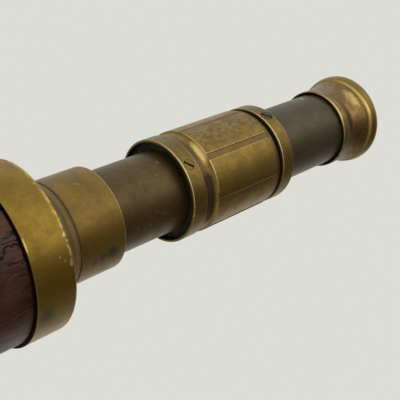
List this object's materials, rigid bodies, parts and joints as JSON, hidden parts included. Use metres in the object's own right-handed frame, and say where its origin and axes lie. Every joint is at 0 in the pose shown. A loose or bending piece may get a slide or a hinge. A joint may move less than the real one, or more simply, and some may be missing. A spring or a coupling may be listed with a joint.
{
  "type": "draw telescope",
  "caption": "Hand-held brass draw telescope with a leather-covered barrel, a sliding draw tube, a fluted turning focus sleeve between screwed rings, and a flared eyecup.",
  "frame": {"origin": "centre of the objective rim, on the plane that it stands on", "axes": "+Z along the optical axis from the objective to the eyepiece; -Y is the side that carries the first flute and the first front ring screw"},
  "size_m": [0.0578, 0.0578, 0.4265],
  "materials": {
    "aged_brass": "satin, evenly tarnished",
    "ferrule_brass": "satin, olive tarnish with worn bright edges",
    "collar_brass": "satin, brown-olive tarnish",
    "ring_brass": "satin, tarnished, bright edges",
    "sleeve_brass": "satin, mottled tarnish, bright arrises",
    "draw_tube_brass": "smooth, dark olive-brown patina",
    "eyepiece_tube_brass": "smooth, dark grey-brown patina",
    "eyecup_brass": "satin, brown patina with rubbed bright rim",
    "hidden_tube": "plain, unseen under the leather",
    "blackened_brass": "matt optical black",
    "screw_brass": "slotted head, dirt in the slot",
    "screw_steel": "darkened steel",
    "barrel_leather": "dark red-brown, wrinkled and cracked",
    "optical_glass": "polished, uncoated",
    "felt": "pressed felt packing"
  },
  "bodies": {
    "barrel": {"objective_cell": "aged_brass", "objective_crown_lens": "optical_glass", "objective_spacer": "blackened_brass", "objective_flint_lens": "optical_glass", "objective_retainer": "blackened_brass", "front_ferrule": "aged_brass", "barrel_tube": "hidden_tube", "leather_cover": "barrel_leather", "glare_stop": "blackened_brass", "rear_ferrule": "ferrule_brass", "collar_base": "collar_brass", "draw_collar": "collar_brass", "friction_liner": "felt", "guide_bush": "blackened_brass"},
    "draw": {"draw_tube": "draw_tube_brass", "draw_stop_ring": "blackened_brass", "erector_tube": "blackened_brass", "erector_front_lens": "optical_glass", "erector_front_retainer": "blackened_brass", "erector_stop": "blackened_brass", "erector_rear_lens": "optical_glass", "erector_rear_retainer": "blackened_brass", "head_core": "blackened_brass", "front_ring": "ring_brass", "front_ring_screws": "screw_brass", "rear_ring": "ring_brass", "rear_ring_screws": "screw_steel", "sleeve_washer": "blackened_brass"},
    "focus_ring": {"focus_sleeve": "sleeve_brass"},
    "eyepiece": {"eyepiece_tube": "eyepiece_tube_brass", "drive_pin": "screw_steel", "eyecup": "eyecup_brass", "eye_cell": "blackened_brass", "field_lens": "optical_glass", "field_lens_retainer": "blackened_brass", "field_stop": "blackened_brass", "eye_lens": "optical_glass", "eye_lens_retainer": "blackened_brass"}
  },
  "joints": [
    {"name": "draw_slide", "type": "slide", "parent": "barrel", "child": "draw", "axis": [0, 0, 1], "range_m": [-0.0302, 0.085]},
    {"name": "focus_turn", "type": "hinge", "parent": "draw", "child": "focus_ring", "pos_m": [0, 0, 0.34205], "axis": [0, 0, 1], "range_deg": [-60, 60]},
    {"name": "eyepiece_slide", "type": "slide", "parent": "draw", "child": "eyepiece", "axis": [0, 0, 1], "range_m": [-0.00402, 0.00402]}
  ],
  "couplings": [
    {"joint": "eyepiece_slide", "follows": "focus_turn", "m_per_rad": -0.0038197}
  ]
}
